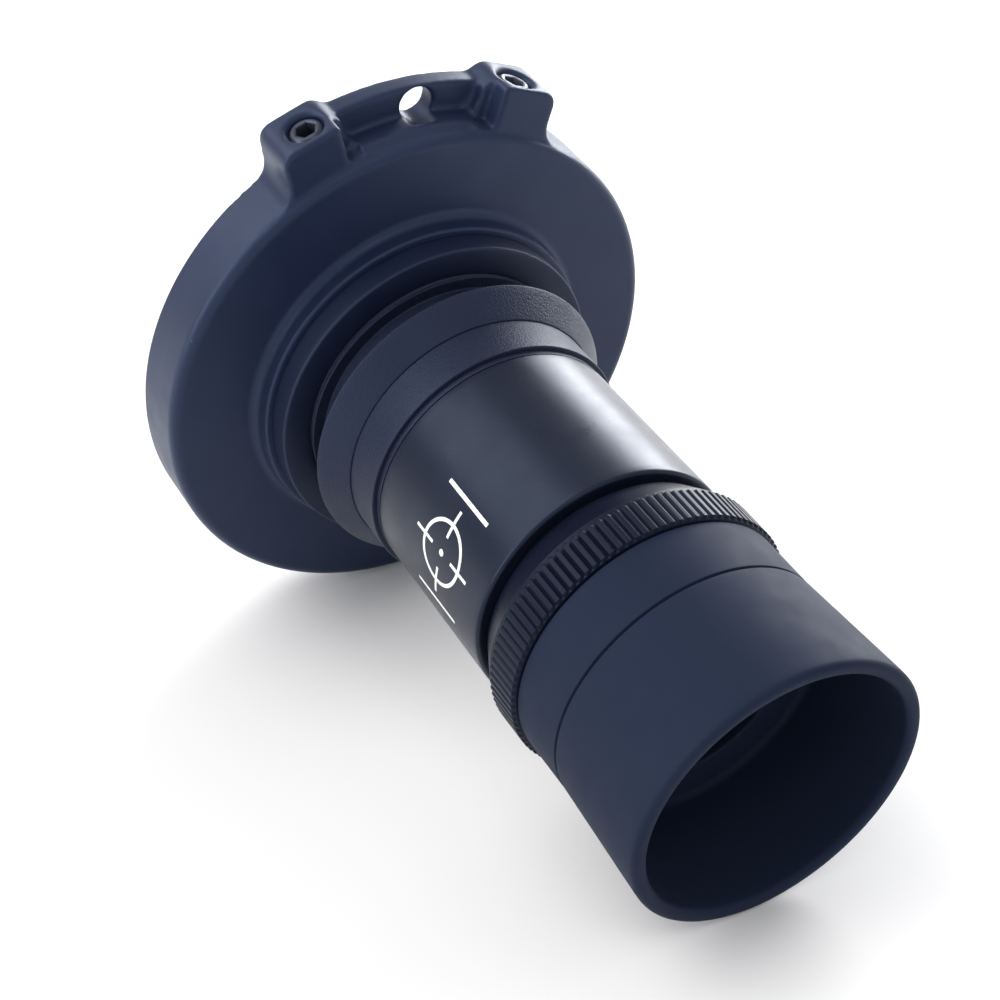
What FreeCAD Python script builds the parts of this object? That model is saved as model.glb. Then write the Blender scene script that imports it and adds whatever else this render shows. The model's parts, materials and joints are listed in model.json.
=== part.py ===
import FreeCAD, Part
import os
import Sketcher

# A sighting eyepiece on a clamp flange. The optical axis is X, pointing to the eye; Z points to the
# clamp lug. The origin is the centre of the clamp bore's mouth, at the back of the flange.
# Lengths are in millimetres and angles in degrees.

SIZES = {
    # Clamp flange: a shallow cup whose bore slips over the instrument's round rim.
    "skirt_r": 38.6, "spigot_r": 36.0, "floor_x": 7.0, "face_x": 9.8, "face_round": 1.5,
    "boss_r": 25.7, "boss_x": 12.9, "boss_foot": 1.4, "edge_break": 0.25,
    "gasket_in_r": 31.0, "gasket_out_r": 35.0, "gasket_depth": 0.8,
    # Lug on the skirt: two ears joined by a thin back wall, with a pocket in front of it.
    "lug_front_x": 8.8, "ear_angle": 21.0, "ear_top_r": 45.3, "ear_inner": 3.4, "ear_outer": 5.3,
    "ear_foot": 6.2, "ear_root_r": 37.4, "ear_corner": 2.2, "ear_crest": 2.3, "ear_foot_round": 3.6,
    "wall_angle": 14.5, "wall_top_r": 43.6, "pocket_x": 3.5, "pocket_r": 39.3, "pocket_angle": 14.0,
    "pocket_cove": 1.9, "ledge_x": 7.2, "ledge_foot_x": 9.2, "ledge_foot_r": 38.0, "ledge_angle": 17.0,
    "relief_angle": 14.7, "relief_x": 5.7, "relief_half": 1.2, "relief_floor_r": 38.9,
    "lug_hole_r": 2.5, "lug_hole_y": 1.6, "lug_hole_z": 40.6, "lug_hole_x": 5.9, "outside_r": 50.0,
    # Clamp screws and the soft pads on their tips, along the ears' radii.
    "screw_x": 5.0, "screw_r": 2.5, "screw_gap": 0.05, "screw_tip": 37.4, "screw_top": 44.8, "mouth_r": 2.9,
    "key_across": 2.5, "key_depth": 3.0, "pad_r": 1.6, "pad_tip": 36.3, "pad_in_screw": 1.0,
    # Collar that carries the objective, and the ring that locks it in the flange.
    "shank_r": 20.5, "shank_back_x": 7.4, "lock_r": 24.7, "lock_x": 16.6, "shoulder_x": 23.0,
    "undercut_x": 17.6, "undercut_r": 18.8, "collar_r": 23.1, "cone_x": 27.3, "cone_end_r": 19.75,
    "neck_r": 19.55, "neck_x": 33.7,
    "joint_r": 18.9, "joint_x": 34.6, "socket_r": 17.65, "plug_r": 17.6, "plug_x": 42.3,
    "clear_r": 16.0, "seat_r": 18.3, "seat_x": 16.4,
    "seal_x": 37.0, "seal_width": 1.4, "seal_floor_r": 16.75, "seal_mid_r": 17.2, "seal_wire_r": 0.42,
    # Objective: a cemented pair held by a threaded ring.
    "objective_r": 18.2, "crown_edge_x": 10.0, "crown_back_curve": 75.0, "crown_front_curve": 70.0,
    "crown_edge": 1.35, "cement": 0.03, "objective_ring_x": 9.45, "objective_ring_in_r": 16.2,
    # Main barrel with a threaded nose, and the stop inside it.
    "barrel_back_r": 18.9, "barrel_front_r": 19.2, "barrel_x": 62.3, "barrel_round": 0.6,
    "nose_r": 17.2, "nose_x": 70.3, "slide_r": 15.5, "stop_seat_x": 44.0,
    "stop_back_x": 42.4, "stop_front_x": 43.95, "stop_r": 17.55, "stop_hole_r": 13.5, "stop_lip": 0.3,
    "pin_x": 68.9, "pin_r": 1.0, "pin_out": 17.1, "pin_in": 14.3,
    # Eyepiece cell that slides in the barrel without turning.
    "cell_r": 15.45, "cell_x": 54.0, "cell_mouth_r": 13.4, "cell_flange_r": 17.18,
    "cell_flange_x": 72.25, "cell_flange_end_x": 74.2, "cell_boss_r": 14.6, "cell_end_x": 77.0,
    "lens_pocket_r": 13.2, "lens_seat_x": 65.0, "lens_seat_r": 12.0, "slot_back_x": 63.5,
    "slot_front_x": 70.7, "slot_r": 1.1, "slot_floor_r": 14.0,
    "cell_seal_x": 57.0, "cell_seal_width": 1.4, "cell_seal_floor_r": 14.45,
    "cell_seal_mid_r": 14.98, "cell_seal_wire_r": 0.47,
    # Eye lenses: a hollow lens, a spacer, a bulging lens and their threaded ring.
    "eye_r": 13.15, "hollow_end_x": 68.6, "hollow_curve": 60.0, "hollow_rim_r": 11.9,
    "spacer_end_x": 71.1, "bulge_edge_x": 71.6, "bulge_edge": 1.5, "bulge_back_curve": 35.0,
    "bulge_front_curve": 80.0, "eye_ring_x": 73.35, "eye_ring_end_x": 75.6,
    # Focus ring, and the ring that holds the cell in it.
    "ring_bore_r": 17.26, "ring_lip_r": 18.15, "ring_x": 63.2, "ring_cone_r": 20.3,
    "ring_cone_x": 67.5, "knurl_r": 20.6, "knurl_x": 68.2, "knurl_end_x": 73.3, "ring_back_r": 20.1,
    "ring_back_x": 73.8, "sleeve_r": 18.4, "sleeve_x": 82.4, "catch_r": 16.0, "catch_x": 71.2,
    "catch_end_x": 72.2, "keeper_x": 74.25, "keeper_end_x": 76.2, "keeper_in_r": 15.0,
    "spanner_slot": 1.6, "spanner_depth": 0.9,
    # Rubber eyecup stretched over the focus ring's sleeve.
    "cup_x": 73.85, "cup_base_r": 19.9, "cup_grip_r": 18.42, "fold_x": 83.1, "fold_half": 0.35,
    "fold_r": 19.55, "flare_x": 101.1, "flare_r": 20.9, "cup_end_x": 102.6, "lip_in_r": 18.8,
    "lip_round": 0.9, "web_x": 82.45, "web_end_x": 84.4, "web_hole_r": 13.0, "cup_floor_r": 18.5,
    "cup_floor_round": 1.0,
}

X_AXIS = FreeCAD.Vector(1, 0, 0)
ALONG_X = FreeCAD.Rotation(FreeCAD.Vector(0, 1, 0), 90)
CIRCLE_MATCH = 0.01

document = FreeCAD.newDocument("sighting_eyepiece")


def make_sheet():
    """Put the driving dimensions in a spreadsheet, one aliased cell each."""
    sheet = document.addObject("Spreadsheet::Sheet", "Sizes")
    for row, (alias, size) in enumerate(SIZES.items(), start=1):
        sheet.set(f"A{row}", alias)
        sheet.set(f"B{row}", str(size))
        sheet.setAlias(f"B{row}", alias)
    document.recompute()


def bound(formula):
    """Turn a formula of spaced words into one that reads the sheet, such as Sizes.nose_r - 1."""
    words = []
    for word in formula.split():
        is_alias = word[0].isalpha() and not word.endswith("(")
        words.append("Sizes." + word if is_alias else word)
    return " ".join(words)


def bind(thing, **formulas):
    """Bind an object's properties to formulas; a double underscore stands for a dot."""
    for name, formula in formulas.items():
        thing.setExpression(name.replace("__", "."), bound(formula))


def origin_plane(body, role):
    return next(feature for feature in body.Origin.OriginFeatures if feature.Role == role)


def add_sketch(body, name, plane):
    sketch = body.newObject("Sketcher::SketchObject", name)
    sketch.AttachmentSupport = [(origin_plane(body, plane), "")]
    sketch.MapMode = "FlatFace"
    return sketch


def pin_point(sketch, line, formulas):
    """Fix a line's start at two formulas; a coordinate of 0 lies on the sketch's own axis."""
    start = 1
    for direction, axis, formula in zip(("DistanceX", "DistanceY"), (-2, -1), formulas):
        if formula == "0":
            sketch.addConstraint(Sketcher.Constraint("PointOnObject", line, start, axis))
            continue
        place = sketch.Geometry[line].StartPoint
        distance = place.x if direction == "DistanceX" else place.y
        index = sketch.addConstraint(Sketcher.Constraint(direction, line, start, distance))
        sketch.setExpression(f"Constraints[{index}]", bound(formula))


def draw_outline(sketch, points):
    """Draw a closed polygon whose corners sit at pairs of formulas."""
    count = len(points)
    spread = 10.0
    corners = [FreeCAD.Vector(50 + spread * index, 20 + index * (count - index), 0)
               for index in range(count)]
    for index in range(count):
        segment = Part.LineSegment(corners[index], corners[(index + 1) % count])
        sketch.addGeometry(segment, False)
    for index in range(count):
        following = (index + 1) % count
        sketch.addConstraint(Sketcher.Constraint("Coincident", index, 2, following, 1))
    for index, point in enumerate(points):
        pin_point(sketch, index, point[:2])


def draw_circle(sketch, centre, radius):
    """Draw a circle at a pair of formulas, with a bound radius."""
    sketch.addGeometry(Part.Circle(FreeCAD.Vector(50, 20, 0), FreeCAD.Vector(0, 0, 1), 2.0), False)
    middle = 3
    for direction, axis, formula, place in zip(("DistanceX", "DistanceY"), (-2, -1), centre, (50, 20)):
        if formula == "0":
            sketch.addConstraint(Sketcher.Constraint("PointOnObject", 0, middle, axis))
            continue
        index = sketch.addConstraint(Sketcher.Constraint(direction, 0, middle, place))
        sketch.setExpression(f"Constraints[{index}]", bound(formula))
    index = sketch.addConstraint(Sketcher.Constraint("Radius", 0, 2.0))
    sketch.setExpression(f"Constraints[{index}]", bound(radius))


def turn(body, name, points, kind="Revolution", sweep=None):
    """Turn an outline of (x, radius) formulas about the X axis, all round or over a sweep about +Z."""
    sketch = add_sketch(body, name + "_outline", "XZ_Plane")
    draw_outline(sketch, points)
    feature = body.newObject("PartDesign::" + kind, name)
    feature.Profile = sketch
    feature.ReferenceAxis = (sketch, ["H_Axis"])
    if sweep:
        feature.Midplane = True
        bind(feature, Angle=sweep)
    else:
        feature.Angle = 360
    document.recompute()
    return sketch


def is_turned_from(edge, corner):
    """Say whether a circular edge was turned from an outline's corner."""
    if not isinstance(edge.Curve, Part.Circle):
        return False
    same_radius = abs(edge.Curve.Radius - corner.y) < CIRCLE_MATCH
    return same_radius and abs(edge.Curve.Center.x - corner.x) < CIRCLE_MATCH


def round_corners(body, sketch, points):
    """Round the turned edges of the corners whose third entry names a radius."""
    for alias in sorted({point[2] for point in points if len(point) > 2}):
        corners = [sketch.Geometry[index].StartPoint
                   for index, point in enumerate(points) if len(point) > 2 and point[2] == alias]
        round_edges(body, alias, lambda edge: any(is_turned_from(edge, corner) for corner in corners))


def round_edges(body, alias, chosen):
    """Round each edge of the body's tip that the test chooses."""
    base = body.Tip
    names = [f"Edge{index}" for index, edge in enumerate(base.Shape.Edges, start=1) if chosen(edge)]
    if not names:
        raise RuntimeError(f"{body.Name}: nothing to round with {alias}")
    fillet = body.newObject("PartDesign::Fillet", f"{body.Name}_{alias}")
    fillet.Base = (base, names)
    bind(fillet, Radius=alias)
    document.recompute()


def add_body(name):
    body = document.addObject("PartDesign::Body", name)
    body.Label = name
    return body


def turned_piece(name, points):
    """Make a whole piece from one turned outline."""
    body = add_body(name)
    sketch = turn(body, name + "_turned", points)
    round_corners(body, sketch, points)
    return body


def cut(body, name, sketch, length=None, toward_normal=False):
    """Pocket a sketch to a bound length, or through everything, and check that it removed material."""
    before = body.Shape.Volume
    pocket = body.newObject("PartDesign::Pocket", name)
    pocket.Profile = sketch
    pocket.Reversed = toward_normal
    if length:
        bind(pocket, Length=length)
    else:
        pocket.Type = "ThroughAll"
    document.recompute()
    if body.Shape.Volume >= before:
        raise RuntimeError(f"{name} cuts nothing")
    return pocket


def mirror(body, name, originals):
    """Repeat features on the other side of the XZ plane."""
    mirrored = body.newObject("PartDesign::Mirrored", name)
    mirrored.Originals = originals
    mirrored.MirrorPlane = (origin_plane(body, "XZ_Plane"), [""])
    body.Tip = mirrored
    document.recompute()


def add_radial_sketch(body, name, angle, radius):
    """Place a sketch square to the radius that leans from +Z toward +Y by an angle."""
    sketch = add_sketch(body, name, "XY_Plane")
    sketch.AttachmentOffset = FreeCAD.Placement(FreeCAD.Vector(), FreeCAD.Rotation(-X_AXIS, 1.0))
    bind(sketch, AttachmentOffset__Rotation__Angle=angle,
         AttachmentOffset__Base__y=f"{radius} * sin( {angle} )",
         AttachmentOffset__Base__z=f"{radius} * cos( {angle} )")
    return sketch


def ear_point(along, across):
    """Place a point of an ear by its height on the screw's radius and its distance to the side."""
    return (f"( {along} ) * sin( ear_angle ) + ( {across} ) * cos( ear_angle )",
            f"( {along} ) * cos( ear_angle ) - ( {across} ) * sin( ear_angle )")


def add_ears(body):
    """Pad one ear of the lug from its outline across the axis, round it and mirror it."""
    sketch = add_sketch(body, "ear_outline", "YZ_Plane")
    draw_outline(sketch, [
        ("wall_top_r * sin( wall_angle )", "wall_top_r * cos( wall_angle )"),
        ear_point("ear_top_r", "0 - ear_inner"),
        ear_point("ear_top_r", "ear_outer"),
        ear_point("ear_root_r", "ear_foot"),
        ("ear_root_r * sin( wall_angle )", "ear_root_r * cos( wall_angle )"),
    ])
    pad = body.newObject("PartDesign::Pad", "ear")
    pad.Profile = sketch
    bind(pad, Length="lug_front_x")
    document.recompute()
    mirror(body, "both_ears", [pad])


def runs_along(edge, half_width, height):
    """Say whether a straight edge runs along the axis at a distance to the side and a height."""
    if not isinstance(edge.Curve, Part.Line):
        return False
    first, last = (vertex.Point for vertex in edge.Vertexes)
    level = abs(first.y - last.y) < CIRCLE_MATCH and abs(first.z - last.z) < CIRCLE_MATCH
    placed = abs(abs(first.y) - half_width) < CIRCLE_MATCH and abs(first.z - height) < CIRCLE_MATCH
    return level and placed


def lies_on_skirt(edge):
    """Say whether an edge runs up the lug's side along the skirt."""
    place = edge.CenterOfMass
    on_skirt = abs(place.y ** 2 + place.z ** 2 - SIZES["skirt_r"] ** 2) < SIZES["skirt_r"] * 0.1
    return on_skirt and place.z > 0 and abs(edge.BoundBox.YLength) < 1.0


def round_ears(body):
    """Round the ears' outer corners, their inner crests and the hollows where they meet the skirt."""
    lean = FreeCAD.Rotation(-X_AXIS, SIZES["ear_angle"])
    corner = lean.multVec(FreeCAD.Vector(0, SIZES["ear_outer"], SIZES["ear_top_r"]))
    crest = lean.multVec(FreeCAD.Vector(0, -SIZES["ear_inner"], SIZES["ear_top_r"]))
    round_edges(body, "ear_corner", lambda edge: runs_along(edge, corner.y, corner.z))
    round_edges(body, "ear_crest", lambda edge: runs_along(edge, crest.y, crest.z))
    round_edges(body, "ear_foot_round", lies_on_skirt)


def add_lug(body):
    """Build the ears, the wall between them and the hollowed pocket in front of the wall."""
    add_ears(body)
    turn(body, "lug_wall", [
        ("0", "ear_root_r"), ("0", "wall_top_r"), ("pocket_x", "wall_top_r"), ("pocket_x", "ear_root_r"),
    ], sweep="2 * wall_angle")
    turn(body, "lug_ledge", [
        ("0", "ear_root_r"), ("0", "pocket_r"), ("ledge_x", "pocket_r"),
        ("ledge_foot_x", "ledge_foot_r"), ("ledge_foot_x", "ear_root_r"),
    ], sweep="2 * ledge_angle")
    round_ears(body)
    turn(body, "lug_pocket", [
        ("pocket_x", "pocket_r + pocket_cove"), ("pocket_x", "outside_r"), ("face_x", "outside_r"),
        ("face_x", "pocket_r"), ("pocket_x + pocket_cove", "pocket_r"),
        ("pocket_x + 0.3 * pocket_cove", "pocket_r + 0.3 * pocket_cove"),
    ], kind="Groove", sweep="2 * pocket_angle")
    relieve_ears(body)


def relieve_ears(body):
    """Mill a slot down each end of the pocket, beside the ear."""
    sketch = add_radial_sketch(body, "relief_slot", "relief_angle", "relief_floor_r")
    draw_outline(sketch, [
        ("relief_x", "0 - relief_half"), ("outside_r", "0 - relief_half"),
        ("outside_r", "relief_half"), ("relief_x", "relief_half"),
    ])
    slot = cut(body, "relief", sketch, "outside_r - relief_floor_r", toward_normal=True)
    mirror(body, "both_reliefs", [slot])


def drill_lug(body):
    """Cut the hole through the wall and the two screw holes with their wider mouths."""
    hole = add_sketch(body, "lug_hole_circle", "YZ_Plane")
    draw_circle(hole, ("lug_hole_y", "lug_hole_z"), "lug_hole_r")
    cut(body, "lug_hole", hole, "lug_hole_x", toward_normal=True)
    screw_circle = add_radial_sketch(body, "screw_circle", "ear_angle", "( spigot_r - edge_break )")
    draw_circle(screw_circle, ("screw_x", "0"), "screw_r + screw_gap")
    screw_hole = cut(body, "screw_hole", screw_circle, "outside_r - spigot_r", toward_normal=True)
    mouth_circle = add_radial_sketch(body, "mouth_circle", "ear_angle", "screw_top")
    draw_circle(mouth_circle, ("screw_x", "0"), "mouth_r")
    mouth = cut(body, "screw_mouth", mouth_circle, "outside_r - screw_top", toward_normal=True)
    mirror(body, "both_screw_holes", [screw_hole, mouth])


def flange_cup():
    """The clamp flange: a turned cup with a boss in front and a milled lug on its skirt."""
    body = add_body("flange_cup")
    outline = [
        ("0", "0"), ("0", "skirt_r"), ("face_x", "skirt_r", "face_round"),
        ("face_x", "boss_r", "boss_foot"), ("boss_x", "boss_r", "edge_break"), ("boss_x", "0"),
    ]
    sketch = turn(body, "cup", outline)
    round_corners(body, sketch, outline)
    add_lug(body)
    turn(body, "clamp_bore", [
        ("0", "0"), ("0", "spigot_r"), ("floor_x", "spigot_r"), ("floor_x", "gasket_out_r"),
        ("floor_x + gasket_depth", "gasket_out_r"), ("floor_x + gasket_depth", "gasket_in_r"),
        ("floor_x", "gasket_in_r"), ("floor_x", "shank_r"), ("boss_x", "shank_r"), ("boss_x", "0"),
    ], kind="Groove")
    drill_lug(body)
    return body


def seat_gasket():
    """A flat rubber ring let into the clamp bore's floor."""
    return turned_piece("seat_gasket", [
        ("floor_x", "gasket_in_r"), ("floor_x", "gasket_out_r"),
        ("floor_x + gasket_depth", "gasket_out_r"), ("floor_x + gasket_depth", "gasket_in_r"),
    ])


def lock_ring():
    """The ring on the collar's shank that tightens against the flange's boss."""
    return turned_piece("lock_ring", [
        ("boss_x", "shank_r"), ("boss_x", "lock_r"), ("lock_x", "lock_r", "edge_break"),
        ("lock_x", "shank_r"),
    ])


def front_collar():
    """The stepped collar: threaded shank, undercut, cone, neck and the plug that enters the barrel."""
    return turned_piece("front_collar", [
        ("shank_back_x", "seat_r"), ("shank_back_x", "shank_r"), ("undercut_x", "shank_r"),
        ("undercut_x", "undercut_r"), ("shoulder_x", "undercut_r"),
        ("shoulder_x", "collar_r", "edge_break"), ("cone_x", "cone_end_r"), ("cone_x", "neck_r"),
        ("neck_x", "neck_r"), ("neck_x", "joint_r"), ("joint_x", "joint_r"), ("joint_x", "plug_r"),
        ("seal_x", "plug_r"), ("seal_x", "seal_floor_r"), ("seal_x + seal_width", "seal_floor_r"),
        ("seal_x + seal_width", "plug_r"), ("plug_x", "plug_r"), ("plug_x", "clear_r"),
        ("seat_x", "clear_r"), ("seat_x", "seat_r"),
    ])


def main_barrel():
    """The plain barrel, its threaded nose and the hole for the guide pin."""
    body = turned_piece("main_barrel", [
        ("joint_x", "socket_r"), ("joint_x", "barrel_back_r"),
        ("barrel_x", "barrel_front_r", "barrel_round"), ("barrel_x", "nose_r"), ("nose_x", "nose_r"),
        ("nose_x", "slide_r"), ("stop_seat_x", "slide_r"), ("stop_seat_x", "socket_r"),
    ])
    circle = add_sketch(body, "pin_circle", "XY_Plane")
    draw_circle(circle, ("pin_x", "0"), "pin_r")
    cut(body, "pin_hole", circle, "barrel_front_r")
    return body


def glare_stop():
    """A thin stop with a bevelled hole, clamped between the collar's plug and the barrel."""
    return turned_piece("glare_stop", [
        ("stop_back_x", "stop_hole_r + stop_lip * 3"), ("stop_back_x", "stop_r"), ("stop_front_x", "stop_r"),
        ("stop_front_x", "stop_hole_r"), ("stop_front_x - stop_lip", "stop_hole_r"),
    ])


def eyepiece_cell():
    """The lens cell, with a flange that the focus ring holds and a slot for the guide pin."""
    body = turned_piece("eyepiece_cell", [
        ("cell_x", "cell_mouth_r"), ("cell_x", "cell_r"), ("cell_seal_x", "cell_r"),
        ("cell_seal_x", "cell_seal_floor_r"), ("cell_seal_x + cell_seal_width", "cell_seal_floor_r"),
        ("cell_seal_x + cell_seal_width", "cell_r"), ("cell_flange_x", "cell_r"),
        ("cell_flange_x", "cell_flange_r"), ("cell_flange_end_x", "cell_flange_r"),
        ("cell_flange_end_x", "cell_boss_r"), ("cell_end_x", "cell_boss_r"),
        ("cell_end_x", "lens_pocket_r"), ("lens_seat_x", "lens_pocket_r"), ("lens_seat_x", "lens_seat_r"),
    ])
    slot = add_radial_sketch(body, "slot_outline", "180", "slot_floor_r")
    draw_outline(slot, [
        ("slot_back_x", "slot_r"), ("slot_back_x", "0 - slot_r"),
        ("slot_front_x", "0 - slot_r"), ("slot_front_x", "slot_r"),
    ])
    cut(body, "guide_slot", slot, "slot_floor_r", toward_normal=True)
    return body


def threaded_ring(name, back, front, inner, outer):
    """A thin retaining ring with a pair of spanner slots across one face."""
    body = turned_piece(name, [(back, inner), (back, outer), (front, outer), (front, inner)])
    sketch = add_sketch(body, name + "_slot_outline", "XZ_Plane")
    faces_back = name == "objective_retaining_ring"
    deep, flush = (f"{back} + spanner_depth", back) if faces_back else (f"{front} - spanner_depth", front)
    draw_outline(sketch, [(deep, outer), (flush, outer), (flush, f"0 - {outer}"), (deep, f"0 - {outer}")])
    pocket = cut(body, name + "_slots", sketch, "spanner_slot")
    pocket.Midplane = True
    document.recompute()
    return body


def add_primitive(kind, name, **formulas):
    """Add a Part primitive with bound sizes, turned so that its own axis is the optical axis."""
    primitive = document.addObject("Part::" + kind, name)
    primitive.Placement = FreeCAD.Placement(FreeCAD.Vector(), ALONG_X)
    bind(primitive, **formulas)
    return primitive


def disc(name, radius, back, front):
    return add_primitive("Cylinder", name, Radius=radius, Height=f"{front} - ( {back} )",
                         Placement__Base__x=back)


def ball(name, radius, centre):
    return add_primitive("Sphere", name, Radius=radius, Placement__Base__x=centre)


def sag(curve, rim):
    """Give the depth of a spherical surface of a radius at a rim."""
    return f"( {curve} - sqrt( {curve} ^ 2 - {rim} ^ 2 ) )"


def combine(kind, name, shapes):
    """Join, or keep what is common to, several shapes under a piece's name."""
    result = document.addObject("Part::" + kind, name)
    result.Shapes = shapes
    result.Label = name
    return result


def bulging_lens(name, radius, edge_x, edge, back_curve, front_curve):
    """A lens that bulges both ways, given by the place and thickness of its edge."""
    back = f"{edge_x} - {sag(back_curve, radius)}"
    front = f"{edge_x} + {edge} + {sag(front_curve, radius)}"
    return combine("MultiCommon", name, [
        disc(name + "_disc", radius, back, front),
        ball(name + "_back", back_curve, f"{back} + {back_curve}"),
        ball(name + "_front", front_curve, f"{front} - {front_curve}"),
    ])


def hollowed(name, base, balls):
    """Cut spherical hollows in a disc."""
    for index, tool in enumerate(balls):
        cutter = document.addObject("Part::Cut", f"{name}_{index}")
        cutter.Base, cutter.Tool = base, tool
        base = cutter
    base.Label = name
    return base


def objective_crown_lens():
    return bulging_lens("objective_crown_lens", "objective_r", "crown_edge_x", "crown_edge",
                        "crown_back_curve", "crown_front_curve")


def objective_flint_lens():
    """The second half of the cemented pair: hollow behind, flat on its seat."""
    edge = "( crown_edge_x + crown_edge + cement )"
    peak = f"( {edge} + {sag('crown_front_curve', 'objective_r')} )"
    name = "objective_flint_lens"
    blank = disc(name + "_disc", "objective_r", edge, "seat_x")
    return hollowed(name, blank, [ball(name + "_hollow", "crown_front_curve", f"{peak} - crown_front_curve")])


def eye_hollow_lens():
    """The lens against the cell's seat, hollow on both faces inside a flat rim."""
    name = "eye_hollow_lens"
    depth = sag("hollow_curve", "hollow_rim_r")
    blank = disc(name + "_disc", "eye_r", "lens_seat_x", "hollow_end_x")
    return hollowed(name, blank, [
        ball(name + "_back", "hollow_curve", f"lens_seat_x + {depth} - hollow_curve"),
        ball(name + "_front", "hollow_curve", f"hollow_end_x - {depth} + hollow_curve"),
    ])


def eye_bulging_lens():
    return bulging_lens("eye_bulging_lens", "eye_r", "bulge_edge_x", "bulge_edge",
                        "bulge_back_curve", "bulge_front_curve")


def eye_lens_spacer():
    """The plain ring that keeps the two eye lenses apart."""
    return turned_piece("eye_lens_spacer", [
        ("hollow_end_x", "lens_seat_r"), ("hollow_end_x", "eye_r"),
        ("spacer_end_x", "eye_r"), ("spacer_end_x", "lens_seat_r"),
    ])


def seal_ring(name, place, width, middle, wire):
    """A round rubber cord in its groove."""
    ring = add_primitive("Torus", name, Radius1=middle, Radius2=wire,
                         Placement__Base__x=f"{place} + {width} / 2")
    ring.Label = name
    return ring


def guide_pin():
    """The pin through the barrel's nose that keeps the cell from turning."""
    pin = document.addObject("Part::Cylinder", "guide_pin")
    bind(pin, Radius="pin_r", Height="pin_out - pin_in",
         Placement__Base__x="pin_x", Placement__Base__z="0 - pin_out")
    pin.Label = "guide_pin"
    return pin


def focus_ring():
    """The focus ring: front lip, cone, grip band and the sleeve that carries the eyecup."""
    return turned_piece("focus_ring", [
        ("ring_x", "ring_bore_r"), ("ring_x", "ring_lip_r", "edge_break"), ("ring_cone_x", "ring_cone_r"),
        ("knurl_x", "knurl_r"), ("knurl_end_x", "knurl_r"), ("ring_back_x", "ring_back_r"),
        ("ring_back_x", "sleeve_r"), ("sleeve_x", "sleeve_r"), ("sleeve_x", "ring_bore_r"),
        ("catch_end_x", "ring_bore_r"), ("catch_end_x", "catch_r"), ("catch_x", "catch_r"),
        ("catch_x", "ring_bore_r"),
    ])


def eyecup():
    """The rubber cup: grip, fold groove, flared wall, rounded lip and inner web."""
    return turned_piece("eyecup", [
        ("cup_x", "cup_grip_r"), ("cup_x", "cup_base_r", "edge_break"),
        ("fold_x - fold_half", "cup_base_r"), ("fold_x", "fold_r"), ("fold_x + fold_half", "cup_base_r"),
        ("flare_x", "flare_r"), ("cup_end_x", "flare_r", "lip_round"), ("cup_end_x", "lip_in_r", "lip_round"),
        ("web_end_x", "cup_floor_r", "cup_floor_round"), ("web_end_x", "web_hole_r"),
        ("web_x", "web_hole_r"), ("web_x", "cup_grip_r"),
    ])


def lean_to_ear(thing, side, height):
    """Stand a part on the ear's radius; side is 1 toward +Y and -1 toward -Y."""
    thing.Placement = FreeCAD.Placement(FreeCAD.Vector(), FreeCAD.Rotation(-side * X_AXIS, 1.0))
    bind(thing, Placement__Rotation__Angle="ear_angle", Placement__Base__x="screw_x",
         Placement__Base__y=f"{side} * ( {height} ) * sin( ear_angle )",
         Placement__Base__z=f"( {height} ) * cos( ear_angle )")


def clamp_screw(name, side):
    """A headless screw with a six-sided key socket in its top and a hollow tip for the pad."""
    shank = document.addObject("Part::Cylinder", name + "_shank")
    bind(shank, Radius="screw_r", Height="screw_top - screw_tip")
    lean_to_ear(shank, side, "screw_tip")
    socket = document.addObject("Part::Prism", name + "_socket")
    socket.Polygon = 6
    bind(socket, Circumradius="key_across / sqrt( 3 )", Height="key_depth")
    lean_to_ear(socket, side, "screw_top - key_depth")
    seat = document.addObject("Part::Cylinder", name + "_seat")
    bind(seat, Radius="pad_r + screw_gap", Height="pad_in_screw")
    lean_to_ear(seat, side, "screw_tip")
    return hollowed(name, shank, [socket, seat])


def clamp_pad(name, side):
    """The soft pad that the screw presses on the instrument's rim."""
    pad = document.addObject("Part::Cylinder", name)
    bind(pad, Radius="pad_r", Height="screw_tip + pad_in_screw - pad_tip")
    lean_to_ear(pad, side, "pad_tip")
    pad.Label = name
    return pad


def build_pieces():
    """Build every piece of the eyepiece, from the clamp flange to the eyecup."""
    return [
        flange_cup(), seat_gasket(), lock_ring(), front_collar(),
        threaded_ring("objective_retaining_ring", "shank_back_x", "objective_ring_x",
                      "objective_ring_in_r", "seat_r"),
        objective_crown_lens(), objective_flint_lens(),
        seal_ring("barrel_seal", "seal_x", "seal_width", "seal_mid_r", "seal_wire_r"),
        main_barrel(), glare_stop(), guide_pin(), eyepiece_cell(),
        seal_ring("cell_seal", "cell_seal_x", "cell_seal_width", "cell_seal_mid_r", "cell_seal_wire_r"),
        eye_hollow_lens(), eye_lens_spacer(), eye_bulging_lens(),
        threaded_ring("eye_retaining_ring", "eye_ring_x", "eye_ring_end_x", "lens_seat_r", "lens_pocket_r"),
        focus_ring(), threaded_ring("cell_retaining_ring", "keeper_x", "keeper_end_x", "keeper_in_r",
                                    "ring_bore_r"),
        eyecup(), clamp_screw("clamp_screw_left", -1), clamp_screw("clamp_screw_right", 1),
        clamp_pad("clamp_pad_left", -1), clamp_pad("clamp_pad_right", 1),
    ]


def check_and_export(pieces):
    """Stop on any failed object or bad shape, then write one STEP file for each piece."""
    for thing in document.Objects:
        if {"Invalid", "Error"} & set(thing.State):
            raise RuntimeError(f"{thing.Name}: {thing.State}")
    for piece in pieces:
        shape = piece.Shape
        if shape.isNull() or not shape.isValid() or len(shape.Solids) != 1:
            raise RuntimeError(f"{piece.Label}: bad shape")
    os.makedirs("parts", exist_ok=True)
    for piece in pieces:
        piece.Shape.exportStep(f"parts/{piece.Label}.step")
        print(f"{piece.Label}: {piece.Shape.Volume:.1f} mm3")


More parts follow.
